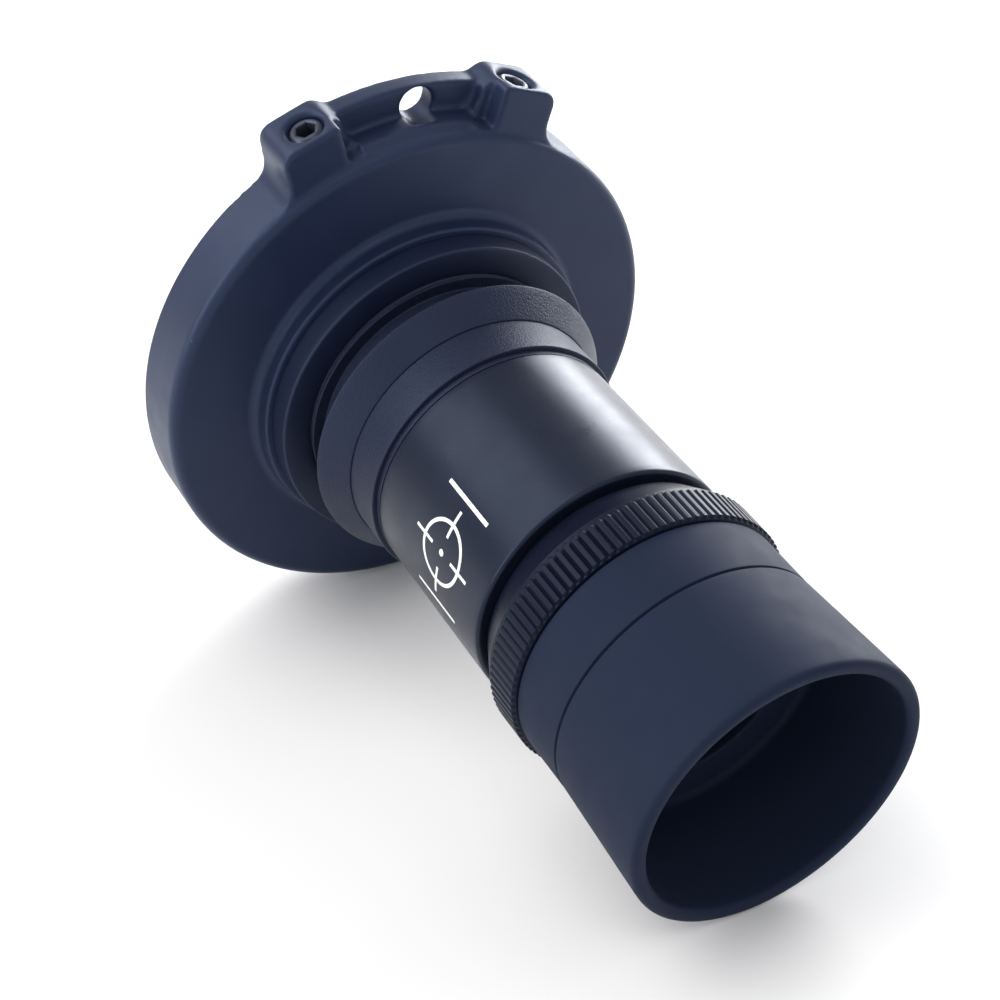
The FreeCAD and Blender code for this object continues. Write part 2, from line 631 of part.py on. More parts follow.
make_sheet()
all_pieces = build_pieces()
document.recompute()
check_and_export(all_pieces)
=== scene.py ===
import json
import math

import bmesh
import bpy
import numpy as np
from mathutils import Matrix, Vector


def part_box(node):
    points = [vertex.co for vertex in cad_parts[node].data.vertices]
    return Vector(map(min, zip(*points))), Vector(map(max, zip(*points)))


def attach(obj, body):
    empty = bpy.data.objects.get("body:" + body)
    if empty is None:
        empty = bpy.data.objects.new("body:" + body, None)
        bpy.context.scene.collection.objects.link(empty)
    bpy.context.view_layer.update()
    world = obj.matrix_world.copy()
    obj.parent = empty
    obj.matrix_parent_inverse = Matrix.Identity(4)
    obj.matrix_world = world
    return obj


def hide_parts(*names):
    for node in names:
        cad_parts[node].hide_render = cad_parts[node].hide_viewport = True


# A sighting eyepiece on a clamp flange. X is the optical axis, pointing to the eye, and Z points to
# the lug. Outlines are in millimetres, as (distance along X, radius) or with a corner radius third.

MM = 0.001
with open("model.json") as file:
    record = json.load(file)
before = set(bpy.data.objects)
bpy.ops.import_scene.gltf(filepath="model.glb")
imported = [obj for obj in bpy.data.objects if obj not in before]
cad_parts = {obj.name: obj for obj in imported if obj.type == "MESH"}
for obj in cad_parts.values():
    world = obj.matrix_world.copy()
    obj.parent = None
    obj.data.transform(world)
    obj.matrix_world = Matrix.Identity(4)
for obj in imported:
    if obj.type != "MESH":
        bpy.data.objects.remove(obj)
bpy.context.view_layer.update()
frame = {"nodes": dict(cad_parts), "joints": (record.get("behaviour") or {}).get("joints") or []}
nodes = frame["nodes"]


def reach(node):
    """Give a CAD node's first and last X and its outer radius, in millimetres."""
    low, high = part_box(node)
    return low.x / MM, high.x / MM, high.y / MM


# ---------------------------------------------------------------- geometry

def corner_arc(before, corner, after, radius, steps=7):
    """Replace a sharp corner of an outline by an arc."""
    to_before = (before - corner) / np.linalg.norm(before - corner)
    to_after = (after - corner) / np.linalg.norm(after - corner)
    half = math.acos(np.clip(to_before @ to_after, -1, 1)) / 2
    middle = (to_before + to_after) / np.linalg.norm(to_before + to_after)
    centre = corner + middle * radius / math.sin(half)
    first = corner + to_before * radius / math.tan(half) - centre
    last = corner + to_after * radius / math.tan(half) - centre
    sweep = math.pi - 2 * half
    ways = [(math.sin((1 - t) * sweep) * first + math.sin(t * sweep) * last) / math.sin(sweep)
            for t in np.linspace(0, 1, steps)]
    return [centre + way for way in ways]


def rounded(outline):
    """Turn a closed outline into plain points, with its rounded corners as arcs."""
    places = [np.array(point[:2], float) for point in outline]
    points = []
    for index, point in enumerate(outline):
        if len(point) < 3:
            points.append(places[index])
            continue
        following = places[(index + 1) % len(places)]
        points += corner_arc(places[index - 1], places[index], following, point[2])
    return points


def divided(points, longest):
    """Add points to a closed outline so that no step is longer than asked."""
    result = []
    for index, point in enumerate(points):
        following = points[(index + 1) % len(points)]
        steps = max(1, math.ceil(np.linalg.norm(following - point) / longest))
        result += [point + (following - point) * step / steps for step in range(steps)]
    return np.array(result)


def new_object(name, vertices, faces, sharp=40):
    """Make a smooth-shaded mesh object whose edges over an angle stay sharp."""
    mesh = bpy.data.meshes.new(name)
    mesh.from_pydata([tuple(vertex) for vertex in vertices], [], faces)
    mesh.shade_smooth()
    mesh.set_sharp_from_angle(angle=math.radians(sharp))
    piece = bpy.data.objects.new(name, mesh)
    bpy.context.scene.collection.objects.link(piece)
    return piece


def grid_faces(rows, columns):
    """Join a grid of vertices, closed both ways, into quads."""
    row, column = np.meshgrid(np.arange(rows), np.arange(columns), indexing="ij")
    next_row, next_column = (row + 1) % rows, (column + 1) % columns
    corners = (row * columns + column, next_row * columns + column,
               next_row * columns + next_column, row * columns + next_column)
    return np.stack(corners, axis=-1).reshape(-1, 4).tolist()


def lathe(name, outline, around=256, longest=1.0, relief=None):
    """Turn a closed outline about the X axis; relief may change the radii by place and angle."""
    profile = divided(rounded(outline), longest)
    following = np.roll(profile, -1, axis=0)
    area = np.sum(profile[:, 0] * following[:, 1] - following[:, 0] * profile[:, 1])
    if area < 0:
        profile = profile[::-1]
    angle = np.linspace(0, 2 * math.pi, around, endpoint=False)[None, :]
    along = np.repeat(profile[:, :1], around, axis=1)
    radius = np.repeat(profile[:, 1:], around, axis=1)
    if relief:
        radius = relief(along, radius, np.repeat(angle, len(profile), axis=0))
    vertices = np.stack([along, radius * np.sin(angle), radius * np.cos(angle)], axis=-1) * MM
    return new_object(name, vertices.reshape(-1, 3), grid_faces(len(profile), around))


def fine_span(start, end, radius, step=0.15):
    """Give close points along a straight run at one radius, for a relief to shape."""
    return [(along, radius) for along in np.linspace(start, end, round((end - start) / step) + 1)]


def smooth_step(values, low, high):
    share = np.clip((values - low) / (high - low), 0, 1)
    return share * share * (3 - 2 * share)


def screw_thread(along, angle, lead, starts, depth):
    """Give how far a rounded thread cuts in at each place."""
    turns = starts * (along / lead - angle / (2 * math.pi))
    return depth * (0.5 - 0.5 * np.cos(2 * math.pi * turns))


def swap_in(piece, node, body, finish):
    """Let a finer piece stand for a CAD node: hide the node and give the piece the finish asked for."""
    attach(piece, body)
    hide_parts(node)
    piece.data.materials.append(finish)
    return piece


# ---------------------------------------------------------------- materials

BLUE_SHEEN = (0.55, 0.70, 1.0)


class Shader:
    """A principled material whose textures follow the object's own place, in metres."""

    def __init__(self, name, colour, roughness, metallic=0.0, specular=0.5, tint=(1, 1, 1)):
        self.material = bpy.data.materials.new(name)
        self.material.use_nodes = True
        self.tree = self.material.node_tree
        self.surface = self.tree.nodes["Principled BSDF"]
        self.surface.inputs["Base Color"].default_value = (*colour, 1)
        self.surface.inputs["Roughness"].default_value = roughness
        self.surface.inputs["Metallic"].default_value = metallic
        self.surface.inputs["Specular IOR Level"].default_value = specular
        self.surface.inputs["Specular Tint"].default_value = (*tint, 1)
        self.place = self.add("ShaderNodeTexCoord").outputs["Object"]
        self.normal = None

    def add(self, kind, **settings):
        node = self.tree.nodes.new(kind)
        for name, value in settings.items():
            if hasattr(node, name):
                setattr(node, name, value)
            else:
                node.inputs[name].default_value = value
        return node

    def link(self, source, target):
        self.tree.links.new(source, target)

    def stretched(self, scale):
        """Scale the place unevenly, for marks that run one way."""
        mapping = self.add("ShaderNodeMapping")
        mapping.inputs["Scale"].default_value = scale
        self.link(self.place, mapping.inputs["Vector"])
        return mapping.outputs["Vector"]

    def noise(self, size, detail=3.0, place=None):
        """Give a noise whose grain is about a size in metres."""
        node = self.add("ShaderNodeTexNoise", Scale=1 / size, Detail=detail)
        self.link(place or self.place, node.inputs["Vector"])
        return node.outputs["Fac"]

    def ramp(self, source, low, high, start, end):
        """Map a range of a value onto another range."""
        node = self.add("ShaderNodeMapRange")
        for name, value in (("From Min", low), ("From Max", high), ("To Min", start), ("To Max", end)):
            node.inputs[name].default_value = value
        self.link(source, node.inputs["Value"])
        return node.outputs["Result"]

    def vary_colour(self, source, other):
        """Blend the base colour toward another one where a value is high."""
        mix = self.add("ShaderNodeMix", data_type="RGBA")
        base = self.surface.inputs["Base Color"]
        if base.is_linked:
            self.link(base.links[0].from_socket, mix.inputs["A"])
        else:
            mix.inputs["A"].default_value = base.default_value
        mix.inputs["B"].default_value = (*other, 1)
        self.link(source, mix.inputs["Factor"])
        self.link(mix.outputs["Result"], base)

    def vary_roughness(self, source, low, high):
        self.link(self.ramp(source, 0.3, 0.7, low, high), self.surface.inputs["Roughness"])

    def bump(self, source, height, strength=1.0):
        """Raise the surface by a height in metres where a value is high."""
        node = self.add("ShaderNodeBump", Strength=strength, Distance=height)
        self.link(source, node.inputs["Height"])
        if self.normal:
            self.link(self.normal, node.inputs["Normal"])
        self.normal = node.outputs["Normal"]
        self.link(self.normal, self.surface.inputs["Normal"])

    def dust(self, spacing, size, colour, share=0.35):
        """Scatter a few pale specks, one at most to each cell of a spacing."""
        cells = self.add("ShaderNodeTexVoronoi", Scale=1 / spacing)
        self.link(self.place, cells.inputs["Vector"])
        spots = self.ramp(cells.outputs["Distance"], size / spacing, 0.4 * size / spacing, 0, 1)
        pick = self.add("ShaderNodeMath", operation="LESS_THAN")
        pick.inputs[1].default_value = share
        chance = self.add("ShaderNodeSeparateColor")
        self.link(cells.outputs["Color"], chance.inputs["Color"])
        self.link(chance.outputs["Red"], pick.inputs[0])
        both = self.add("ShaderNodeMath", operation="MULTIPLY")
        self.link(spots, both.inputs[0])
        self.link(pick.outputs[0], both.inputs[1])
        self.vary_colour(both.outputs[0], colour)


def blasted_anodise(name, colour, pale, roughness, grain=0.00016, depth=0.000012, specular=0.46,
                    haze=0.0):
    """Anodised metal with a fine blasted grain, faint cloudy changes of tone and an optional haze."""
    cloud, patch, speck, speck_gap = 0.018, 0.006, 0.00011, 0.0042
    shader = Shader(name, colour, roughness, specular=specular, tint=BLUE_SHEEN)
    shader.surface.inputs["Sheen Weight"].default_value = haze
    shader.surface.inputs["Sheen Roughness"].default_value = 0.35
    shader.surface.inputs["Sheen Tint"].default_value = (*BLUE_SHEEN, 1)
    shader.vary_colour(shader.ramp(shader.noise(cloud, 4), 0.35, 0.75, 0, 1), pale)
    shader.vary_roughness(shader.noise(patch, 5), roughness - 0.05, roughness + 0.06)
    shader.bump(shader.noise(grain, 2), depth)
    shader.bump(shader.noise(grain * 0.45, 1), depth * 0.5)
    shader.dust(speck_gap, speck, (0.16, 0.17, 0.20), 0.3)
    return shader.material


def turned_anodise(name, colour, pale, roughness, sheen=0.30):
    """Anodised metal whose fine tool marks run round the axis."""
    tool_mark, grain, cloud, patch, speck, speck_gap = 0.00022, 0.00013, 0.015, 0.005, 0.00009, 0.0060
    shader = Shader(name, colour, roughness, specular=sheen, tint=BLUE_SHEEN)
    rings = shader.noise(tool_mark, 2, shader.stretched((1, 0.02, 0.02)))
    shader.vary_colour(shader.ramp(shader.noise(cloud, 4), 0.35, 0.75, 0, 1), pale)
    shader.vary_roughness(shader.noise(patch, 5), roughness - 0.05, roughness + 0.05)
    shader.bump(rings, 0.000004)
    shader.bump(shader.noise(grain, 2), 0.000007)
    shader.dust(speck_gap, speck, (0.14, 0.15, 0.18), 0.25)
    return shader.material


def soft_rubber(name, colour, pale):
    """Matt moulded rubber with a bloom, a fine grain and a little lint."""
    bloom, patch, grain, speck, speck_gap = 0.011, 0.004, 0.00011, 0.00010, 0.0075
    shader = Shader(name, colour, 0.6, specular=0.14, tint=BLUE_SHEEN)
    shader.vary_colour(shader.ramp(shader.noise(bloom, 5), 0.4, 0.75, 0, 1), pale)
    shader.vary_roughness(shader.noise(patch, 5), 0.60, 0.67)
    shader.bump(shader.noise(grain, 2), 0.000008)
    shader.dust(speck_gap, speck, (0.10, 0.11, 0.13), 0.3)
    return shader.material


def plain_metal(name, colour, roughness, metallic):
    """A small metal part with fine scratches and handling marks."""
    shader = Shader(name, colour, roughness, metallic)
    shader.vary_roughness(shader.noise(0.0012, 5), roughness - 0.08, roughness + 0.10)
    shader.bump(shader.noise(0.00009, 2, shader.stretched((1, 0.15, 0.15))), 0.000003)
    return shader.material


def coated_glass(name):
    """Clear lens glass whose coating leaves a green reflection, with faint smears."""
    shader = Shader(name, (0.93, 0.97, 0.95), 0.01)
    shader.surface.inputs["Transmission Weight"].default_value = 1.0
    shader.surface.inputs["IOR"].default_value = 1.52
    shader.surface.inputs["Specular Tint"].default_value = (0.35, 0.85, 0.60, 1)
    shader.vary_roughness(shader.noise(0.003, 5), 0.0, 0.03)
    return shader.material


def natural_nylon(name):
    shader = Shader(name, (0.62, 0.60, 0.53), 0.5)
    shader.surface.inputs["Subsurface Weight"].default_value = 0.2
    shader.surface.inputs["Subsurface Radius"].default_value = (0.001, 0.001, 0.0008)
    shader.vary_roughness(shader.noise(0.0008, 3), 0.42, 0.58)
    shader.bump(shader.noise(0.0001, 2), 0.000004)
    return shader.material


def printed_white(name):
    """White pad print with small gaps in the ink."""
    shader = Shader(name, (0.80, 0.80, 0.79), 0.45)
    shader.vary_colour(shader.ramp(shader.noise(0.0004, 4), 0.58, 0.72, 0, 1), (0.52, 0.53, 0.55))
    shader.vary_roughness(shader.noise(0.002, 3), 0.38, 0.55)
    return shader.material


def floor_finish(name):
    shader = Shader(name, (0.86, 0.855, 0.85), 0.55, specular=0.25)
    shader.vary_colour(shader.ramp(shader.noise(0.12, 3), 0.35, 0.8, 0, 1), (0.83, 0.825, 0.825))
    shader.vary_roughness(shader.noise(0.05, 3), 0.5, 0.62)
    return shader.material


FLANGE = blasted_anodise("flange_anodise", (0.0085, 0.0140, 0.040), (0.0115, 0.0180, 0.047), 0.44,
                         haze=0.07)
# The lock ring's base and pale tones are darker than the flange's. This is painted shade for the shadow
# on the ring's front face in the gap before the collar.
LOCK_PAINTED_SHADE = blasted_anodise("lock_ring_anodise_painted_shade", (0.0045, 0.0075, 0.024), (0.0060, 0.0095, 0.028), 0.50)
COLLAR = blasted_anodise("collar_anodise", (0.009, 0.012, 0.028), (0.012, 0.016, 0.035), 0.42,
                         grain=0.00030, depth=0.00007, specular=0.32)
BARREL = turned_anodise("barrel_anodise", (0.006, 0.008, 0.018), (0.008, 0.010, 0.021), 0.31)
RING = turned_anodise("ring_anodise", (0.003, 0.0045, 0.013), (0.005, 0.0065, 0.017), 0.36, sheen=0.17)
INNER = turned_anodise("inner_anodise", (0.007, 0.007, 0.008), (0.010, 0.010, 0.011), 0.55)
RUBBER = soft_rubber("eyecup_rubber", (0.0115, 0.0168, 0.036), (0.0125, 0.0180, 0.038))
SEAL = soft_rubber("seal_rubber", (0.012, 0.012, 0.013), (0.018, 0.018, 0.019))
BLACK_STEEL = plain_metal("black_oxide", (0.045, 0.052, 0.078), 0.36, 0.7)
PIN_STEEL = plain_metal("pin_steel", (0.56, 0.56, 0.57), 0.25, 1.0)
NYLON = natural_nylon("pad_nylon")
GLASS = coated_glass("lens_glass")
INK = printed_white("mark_ink")

CAD_FINISHES = {
    "seat_gasket": SEAL, "barrel_seal": SEAL, "cell_seal": SEAL, "guide_pin": PIN_STEEL,
    "objective_retaining_ring": INNER, "glare_stop": INNER, "eyepiece_cell": INNER,
    "eye_lens_spacer": INNER, "eye_retaining_ring": INNER, "cell_retaining_ring": INNER,
    "objective_crown_lens": GLASS, "objective_flint_lens": GLASS, "eye_hollow_lens": GLASS,
    "eye_bulging_lens": GLASS, "clamp_pad_left": NYLON, "clamp_pad_right": NYLON,
}
for cad_node, finish in CAD_FINISHES.items():
    nodes[cad_node].data.materials.clear()
    nodes[cad_node].data.materials.append(finish)


# ---------------------------------------------------------------- turned pieces

SKIRT_R, FACE_X, BOSS_X, BOSS_R, FACE_ROUND, BOSS_FOOT = 38.6, 9.8, 12.9, 25.7, 1.5, 1.4
BORE_R, FLOOR_X, SHANK_R = 36.0, 7.0, 20.5
GASKET_IN, GASKET_OUT, GASKET_DEPTH = 31.0, 35.0, 0.8
BREAK = 0.22


def lock_ring():
    """The ring that locks the collar in the flange."""
    back, front, radius = reach("lock_ring")
    ring = lathe("threaded_lock_ring", [
        (back, SHANK_R), (back, radius, BREAK), (front, radius, 0.35), (front, SHANK_R + 0.05, 0.08),
    ])
    swap_in(ring, "lock_ring", "tube", LOCK_PAINTED_SHADE)


def front_collar():
    """The collar: a threaded shank, an undercut, a cone, a neck and the joint before the barrel."""
    shoulder_x, cone_x, neck_x, joint_x, plug_x = 23.0, 27.3, 33.7, 34.6, 42.3
    shoulder_r, cone_end_r, neck_r, joint_r, plug_r = 23.1, 19.75, 19.55, 18.9, 17.6
    shank_back, seat_r, clear_r, seat_x, undercut_x, undercut_r = 7.4, 18.3, 16.0, 16.4, 17.6, 18.8

    def cut_thread(along, radius, angle):
        lead, depth = 0.75, 0.3
        on_shank = (along > 16.1) & (along < undercut_x) & (abs(radius - SHANK_R) < 0.01)
        return radius - on_shank * screw_thread(along, angle, lead, 1, depth)

    collar = lathe("stepped_collar", [
        (shank_back, seat_r), (shank_back, SHANK_R, BREAK), *fine_span(16.2, undercut_x, SHANK_R),
        (undercut_x, undercut_r, 0.3), (shoulder_x, undercut_r, 0.6), (shoulder_x, shoulder_r, 0.3),
        (cone_x, cone_end_r, 0.15), (cone_x, neck_r), (neck_x, neck_r, 0.2),
        (neck_x, joint_r), (joint_x, joint_r), (joint_x, plug_r), (plug_x, plug_r),
        (plug_x, clear_r), (seat_x, clear_r), (seat_x, seat_r),
    ], around=288, relief=cut_thread)
    swap_in(collar, "front_collar", "tube", COLLAR)


def main_barrel():
    """The main barrel, with a rounded end and a coarse thread on its narrow nose."""
    back, nose_x, _ = reach("main_barrel")
    end_x, back_r, end_r, nose_r, slide_r = 62.3, 18.9, 19.2, 17.2, 15.5
    stop_x, socket_r = 44.0, 17.65

    def cut_thread(along, radius, angle):
        lead, starts, depth = 6.0, 4, 0.35
        on_nose = (along > end_x + 0.4) & (along < nose_x - 0.1) & (abs(radius - nose_r) < 0.01)
        return radius - on_nose * screw_thread(along, angle, lead, starts, depth)

    barrel = lathe("main_tube", [
        (back, socket_r), (back, back_r, 0.25), (end_x, end_r, 0.6), (end_x, nose_r),
        *fine_span(end_x + 0.4, nose_x - 0.4, nose_r), (nose_x, nose_r, 0.2), (nose_x, slide_r),
        (stop_x, slide_r), (stop_x, socket_r),
    ], around=288, relief=cut_thread)
    swap_in(barrel, "main_barrel", "tube", BARREL)


def focus_ring():
    """The focus ring, with straight rounded ridges round its grip band."""
    front, _, grip_r = reach("focus_ring")
    ridges, samples, groove, grip_start, grip_end, end_round = 102, 14, 0.42, 67.75, 73.72, 0.62
    cone_x, cone_r, lip_r, bore_r = 67.3, 20.16, 18.15, 17.26
    back_x, back_r, sleeve_x, sleeve_r = 73.8, 20.0, 82.4, 18.4
    catch_x, catch_end, catch_r = 71.2, 72.2, 16.0
    floor_r = grip_r - groove

    def cut_ridges(along, radius, angle):
        beside = (angle * ridges / (2 * math.pi)) % 1 * 2 - 1
        front_tip = np.clip(1 - (along - grip_start) / end_round, 0, 1)
        back_tip = np.clip(1 - (grip_end - along) / (end_round / 2), 0, 1)
        across = np.sqrt(beside ** 2 + front_tip ** 2 + back_tip ** 2)
        crown = 1 - smooth_step(across, 0.46, 0.96)
        on_grip = (abs(radius - floor_r) < 0.01) & (along > grip_start) & (along < grip_end)
        return np.where(on_grip, floor_r + groove * crown, radius)

    ring = lathe("ribbed_focus_ring", [
        (front, bore_r), (front, lip_r, 0.25), (cone_x, cone_r, 0.25),
        *fine_span(grip_start, grip_end, floor_r, 0.12), (back_x, back_r),
        (back_x, sleeve_r), (sleeve_x, sleeve_r), (sleeve_x, bore_r), (catch_end, bore_r),
        (catch_end, catch_r), (catch_x, catch_r), (catch_x, bore_r),
    ], around=ridges * samples, longest=2.0, relief=cut_ridges)
    swap_in(ring, "focus_ring", "focus_ring", RING)


def eyecup():
    """The rubber eyecup: a grip over the ring, a fold groove, a flare and a rounded lip."""
    back, end, lip_r = reach("eyecup")
    base_r, grip_r, fold_x, fold_half, fold_r, flare_x = 19.9, 18.42, 83.1, 0.24, 19.42, 101.1
    lip_in, web_x, web_end, web_r, floor_r = 18.8, 82.45, 84.4, 13.0, 18.5
    cup = lathe("rubber_eyecup", [
        (back, grip_r), (back, base_r, 0.3), (fold_x - fold_half, base_r, 0.08), (fold_x, fold_r),
        (fold_x + fold_half, base_r + 0.02, 0.08), (flare_x, lip_r - 0.02, 0.5), (end, lip_r, 0.9),
        (end, lip_in, 0.9), (web_end, floor_r, 1.0), (web_end, web_r, 0.4), (web_x, web_r, 0.4),
        (web_x, grip_r),
    ], around=320, longest=0.5)
    swap_in(cup, "eyecup", "focus_ring", RUBBER)


# ---------------------------------------------------------------- clamp flange

def flange_outline():
    """The flange's turned outline, without its lug."""
    return [
        (0, BORE_R, 0.3), (0, SKIRT_R, 0.35), (FACE_X, SKIRT_R, FACE_ROUND),
        (FACE_X, BOSS_R, BOSS_FOOT), (BOSS_X, BOSS_R, BREAK), (BOSS_X, SHANK_R),
        (FLOOR_X, SHANK_R, BREAK), (FLOOR_X, GASKET_IN), (FLOOR_X + GASKET_DEPTH, GASKET_IN),
        (FLOOR_X + GASKET_DEPTH, GASKET_OUT), (FLOOR_X, GASKET_OUT), (FLOOR_X, BORE_R, BREAK),
    ]


def nearest_on_outline(places, outline):
    """Give the nearest point on a closed outline to each (x, radius) place, and how far it is."""
    starts = np.array(outline)
    steps = np.roll(starts, -1, axis=0) - starts
    best = np.full(len(places), np.inf)
    nearest = places.copy()
    for start, step in zip(starts, steps):
        length = step @ step
        if length == 0:
            continue
        share = np.clip((places - start) @ step / length, 0, 1)
        candidate = start + share[:, None] * step
        distance = np.linalg.norm(places - candidate, axis=1)
        closer = distance < best
        best[closer] = distance[closer]
        nearest[closer] = candidate[closer]
    return nearest, best


def remeshed_copy(node, name, voxel):
    """Copy a CAD node's mesh and give it small even faces."""
    piece = bpy.data.objects.new(name, nodes[node].data.copy())
    bpy.context.scene.collection.objects.link(piece)
    work = bmesh.new()
    work.from_mesh(piece.data)
    bmesh.ops.remove_doubles(work, verts=work.verts, dist=1e-6)
    work.to_mesh(piece.data)
    work.free()
    remesh = piece.modifiers.new("even", "REMESH")
    remesh.mode = "VOXEL"
    remesh.voxel_size = voxel * MM
    evaluated = piece.evaluated_get(bpy.context.evaluated_depsgraph_get())
    even_mesh = bpy.data.meshes.new_from_object(evaluated)
    piece.modifiers.clear()
    piece.data = even_mesh
    piece.data.materials.clear()
    return piece


def relax(vertices, edges, moving, rounds):
    """Smooth the moving vertices toward their neighbours' average."""
    first, second = edges[:, 0], edges[:, 1]
    count = np.bincount(edges.ravel(), minlength=len(vertices)).astype(float)
    for _ in range(rounds):
        total = np.zeros_like(vertices)
        for axis in range(3):
            total[:, axis] = (np.bincount(first, vertices[second, axis], len(vertices))
                              + np.bincount(second, vertices[first, axis], len(vertices)))
        average = total / np.maximum(count, 1)[:, None]
        vertices = np.where(moving[:, None], vertices * 0.5 + average * 0.5, vertices)
    return vertices


def clamp_flange():
    """The flange cup and its lug, with every milled edge softened as blasting leaves it."""
    voxel, all_rounds, lug_rounds, crest_rounds = 0.24, 9, 3, 24
    outline_step, on_outline, crest_x, crest_r = 0.4, 0.03, 1.4, 42.2
    lug_half_angle, lug_root_r, lug_front_x = math.radians(40), 37.9, 9.2
    ear_angle, screw_x, hole_edge_r = math.radians(21), 5.0, 3.1
    flange = remeshed_copy("flange_cup", "blasted_flange", voxel)
    mesh = flange.data
    vertices = np.empty(len(mesh.vertices) * 3)
    mesh.vertices.foreach_get("co", vertices)
    vertices = vertices.reshape(-1, 3) / MM
    edges = np.empty(len(mesh.edges) * 2, int)
    mesh.edges.foreach_get("vertices", edges)
    edges = edges.reshape(-1, 2)

    def axis_distance(places):
        return np.hypot(places[:, 1], places[:, 2])

    def near_lug(places):
        angle = abs(np.arctan2(places[:, 1], places[:, 2]))
        beyond_skirt = axis_distance(places) > lug_root_r
        return (angle < lug_half_angle) & beyond_skirt & (places[:, 0] < lug_front_x)

    def near_screw_hole(places):
        across = abs(places[:, 1]) * math.cos(ear_angle) - places[:, 2] * math.sin(ear_angle)
        return (np.hypot(across, places[:, 0] - screw_x) < hole_edge_r) & (places[:, 2] > 0)

    vertices = relax(vertices, edges, np.ones(len(vertices), bool), all_rounds)
    radius = axis_distance(vertices)
    outline = divided(rounded(flange_outline()), outline_step)
    turned, distance = nearest_on_outline(np.stack([vertices[:, 0], radius], axis=1), outline)
    snap = ~(near_lug(vertices) | near_screw_hole(vertices)) | (distance < on_outline)
    scale = turned[:, 1] / radius
    placed = np.stack([turned[:, 0], vertices[:, 1] * scale, vertices[:, 2] * scale], axis=1)
    vertices = np.where(snap[:, None], placed, vertices)
    vertices = relax(vertices, edges, ~snap, lug_rounds)
    crest = near_lug(vertices) & (vertices[:, 0] < crest_x) & (axis_distance(vertices) > crest_r)
    vertices = relax(vertices, edges, crest, crest_rounds)
    mesh.vertices.foreach_set("co", (vertices * MM).ravel())
    mesh.update()
    mesh.shade_smooth()
    swap_in(flange, "flange_cup", "tube", FLANGE)


# ---------------------------------------------------------------- clamp screws

def clamp_screw(side, joint_name, node, body):
    """A headless screw: bevelled rim, six-sided key socket and threaded shank."""
    joint = next(joint for joint in frame["joints"] if joint["name"] == joint_name)
    axis = Vector(joint["axis"]).normalized()
    tip_r, height, screw_r, key_across, key_depth, pitch = 37.4, 7.4, 2.43, 2.5, 3.0, 0.8
    hollow_r, tip_flat_r, tip_bevel, thread_depth, sharp = 1.6, 2.0, 0.35, 0.28, 35
    thread_start, thread_step, thread_stop = 0.45, 0.1, height - 0.5
    around, key_corner = 144, key_across / math.sqrt(3)
    angle = np.linspace(0, 2 * math.pi, around, endpoint=False)
    beside = (angle + math.pi / 6) % (math.pi / 3) - math.pi / 6
    hexagon = key_corner * math.cos(math.pi / 6) / np.cos(beside)
    threaded = [(level, False, screw_r) for level in np.arange(thread_start, thread_stop, thread_step)]
    # Each level is a height, whether its ring is six-sided, and a radius or what to add to the hexagon.
    levels = [
        (0.0, False, hollow_r), (0.0, False, tip_flat_r), (tip_bevel, False, screw_r), *threaded,
        (height - 0.42, False, screw_r), (height - 0.08, False, screw_r - 0.36),
        (height, False, screw_r - 0.48), (height, True, 0.32), (height - 0.10, True, 0.10),
        (height - 0.28, True, 0.0), (height - key_depth, True, 0.0),
        (height - key_depth - 0.5, False, 0.05),
    ]
    rows = []
    for level, six_sided, radius in levels:
        along = np.full(around, level)
        ring = hexagon + radius if six_sided else np.full(around, radius)
        if not six_sided and thread_start - 0.05 < level < thread_stop:
            ring = ring - screw_thread(along, angle, pitch, 1, thread_depth)
        rows.append(np.stack([ring * np.cos(angle), ring * np.sin(angle), along], axis=1))
    grid = grid_faces(len(rows), around)[:(len(rows) - 1) * around]
    faces = [face[::-1] for face in grid]
    screw = new_object(f"{side}_clamp_screw", np.concatenate(rows) * MM, faces, sharp)
    tip = Vector((joint["pos_m"][0], 0, 0)) + axis * tip_r * MM
    screw.matrix_world = Matrix.Translation(tip) @ axis.to_track_quat("Z", "Y").to_matrix().to_4x4()
    work = bmesh.new()
    work.from_mesh(screw.data)
    bmesh.ops.holes_fill(work, edges=work.edges, sides=0)
    bmesh.ops.recalc_face_normals(work, faces=work.faces)
    work.to_mesh(screw.data)
    work.free()
    screw.data.set_sharp_from_angle(angle=math.radians(sharp))
    swap_in(screw, node, body, BLACK_STEEL)


# ---------------------------------------------------------------- printed mark

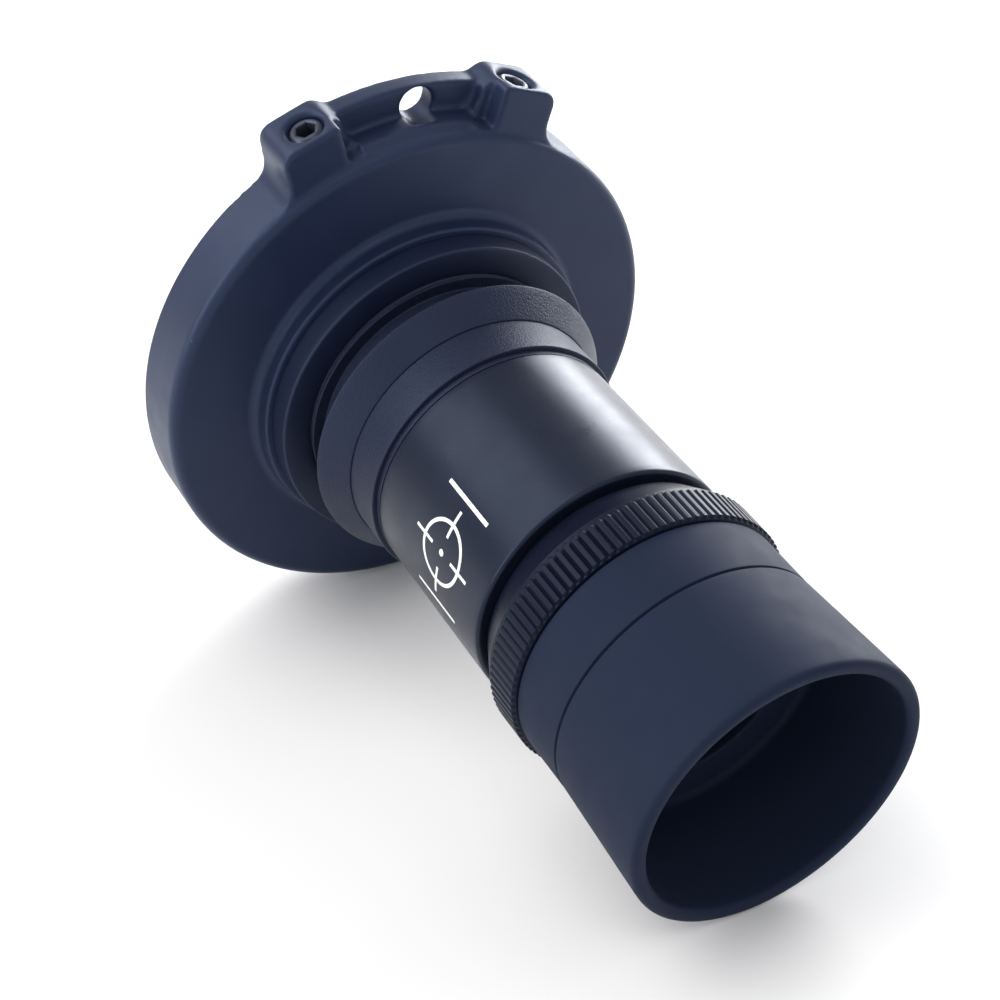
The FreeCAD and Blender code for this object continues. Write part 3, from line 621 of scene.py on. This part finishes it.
def printed_mark():
    """A plain aiming mark on the barrel: a ring with four ticks, a dot and two bars."""
    centre_x, centre_angle, lift, longest = 51.0, math.radians(-76), 0.012, 0.4
    ring_r, ring_width, dot_r, tick_in, tick_out, tick_width = 4.4, 0.55, 0.5, 2.4, 6.6, 0.5
    bar_half, bar_away, bar_width = 5.0, 8.2, 0.6
    back, end_x, back_r, end_r = 34.6, 62.3, 18.9, 19.2
    strips = []

    def bar(start, end, width):
        run = (end[0] - start[0], end[1] - start[1])
        length = math.hypot(*run)
        side = np.array([-run[1], run[0]]) / length * width / 2
        steps = max(2, round(length / longest))
        middles = [np.array(start) + np.array(run) * step / steps for step in range(steps + 1)]
        strips.append([(middle + side, middle - side) for middle in middles])

    def ring(outer, inner):
        ways = [np.array([math.cos(turn), math.sin(turn)]) for turn in np.linspace(0, 2 * math.pi, 73)]
        strips.append([(outer * way, inner * way) for way in ways])

    ring(ring_r + ring_width / 2, ring_r - ring_width / 2)
    ring(dot_r, 0.0)
    for quarter in range(4):
        way = math.cos(quarter * math.pi / 2), math.sin(quarter * math.pi / 2)
        bar((tick_in * way[0], tick_in * way[1]), (tick_out * way[0], tick_out * way[1]), tick_width)
    for side in (-1, 1):
        bar((-bar_half, side * bar_away), (bar_half, side * bar_away), bar_width)

    vertices, faces = [], []
    for strip in strips:
        first = len(vertices)
        for pair in strip:
            for across, round_way in pair:
                along = centre_x + across
                radius = back_r + (end_r - back_r) * (along - back) / (end_x - back) + lift
                angle = centre_angle + round_way / radius
                place = Vector((along, radius * math.sin(angle), radius * math.cos(angle)))
                vertices.append(place * MM)
        for step in range(len(strip) - 1):
            corner = first + 2 * step
            faces.append((corner, corner + 2, corner + 3, corner + 1))
    mark = new_object("printed_aiming_mark", vertices, faces)
    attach(mark, "tube")
    mark.data.materials.append(INK)


# ---------------------------------------------------------------- room

def floor():
    """A pale floor under the flange's rim and the eyecup's lip, where the eyepiece lies."""
    flange_low = Vector((FACE_X, 0, -SKIRT_R)) * MM
    lip_x, lip_r = reach("eyecup")[1] - 0.4, reach("eyecup")[2]
    slope = math.atan2(SKIRT_R - lip_r, lip_x - FACE_X)
    half = 3.0
    corners = [(-half, -half, 0), (half, -half, 0), (half, half, 0), (-half, half, 0)]
    ground = new_object("studio_floor", corners, [(0, 1, 2, 3)])
    ground.matrix_world = Matrix.Translation(flange_low) @ Matrix.Rotation(-slope, 4, "Y")
    ground.data.materials.append(floor_finish("floor_paint"))


def softbox(name, place, target, width, height, power, colour):
    """A soft area light at a place, facing a target."""
    data = bpy.data.lights.new(name, "AREA")
    data.shape = "RECTANGLE"
    data.size, data.size_y = width, height
    data.energy = power
    data.color = colour
    light = bpy.data.objects.new(name, data)
    light.location = place
    light.rotation_euler = (Vector(target) - Vector(place)).to_track_quat("-Z", "Y").to_euler()
    bpy.context.scene.collection.objects.link(light)


def studio():
    """Even white surroundings with soft lights from the left, above and the right."""
    world = bpy.data.worlds.new("studio")
    bpy.context.scene.world = world
    world.use_nodes = True
    backdrop = world.node_tree.nodes["Background"]
    backdrop.inputs["Color"].default_value = (0.96, 0.97, 1.0, 1)
    backdrop.inputs["Strength"].default_value = 0.80
    middle, white, warm = (0.05, 0, 0), (1, 1, 1), (1.0, 0.985, 0.96)
    softbox("key_window", (-0.72, -0.80, 1.05), middle, 1.4, 1.4, 14.5, warm)
    softbox("right_window", (-0.45, 0.80, 0.20), middle, 0.70, 0.45, 11.0, white)
    softbox("left_window", (-0.10, -0.95, 0.28), middle, 0.35, 0.50, 3.0, white)
    softbox("top_window", (0.54, -0.08, 0.96), middle, 0.30, 0.30, 0.8, white)



def photograph_camera():
    """The camera over the eyepiece's right shoulder, looking down the tube."""
    right = Vector((0.4948, 0.8667, 0.0647))
    up = Vector((-0.5907, 0.2808, 0.7566))
    place = Vector((229.7, -125.8, 193.0)) * MM
    data = bpy.data.cameras.new("camera")
    data.lens, data.sensor_width = 77.88, 36.0
    data.clip_start = 0.01
    camera = bpy.data.objects.new("camera", data)
    backward = right.cross(up)
    turn = Matrix((right, up, backward)).transposed().to_4x4()
    camera.matrix_world = Matrix.Translation(place) @ turn
    bpy.context.scene.collection.objects.link(camera)
    bpy.context.scene.camera = camera


clamp_flange()
lock_ring()
front_collar()
main_barrel()
focus_ring()
eyecup()
clamp_screw("left", "left_screw_turn", "clamp_screw_left", "left_screw")
clamp_screw("right", "right_screw_turn", "clamp_screw_right", "right_screw")
printed_mark()
floor()
studio()
photograph_camera()
bpy.context.scene.view_settings.view_transform = "Standard"
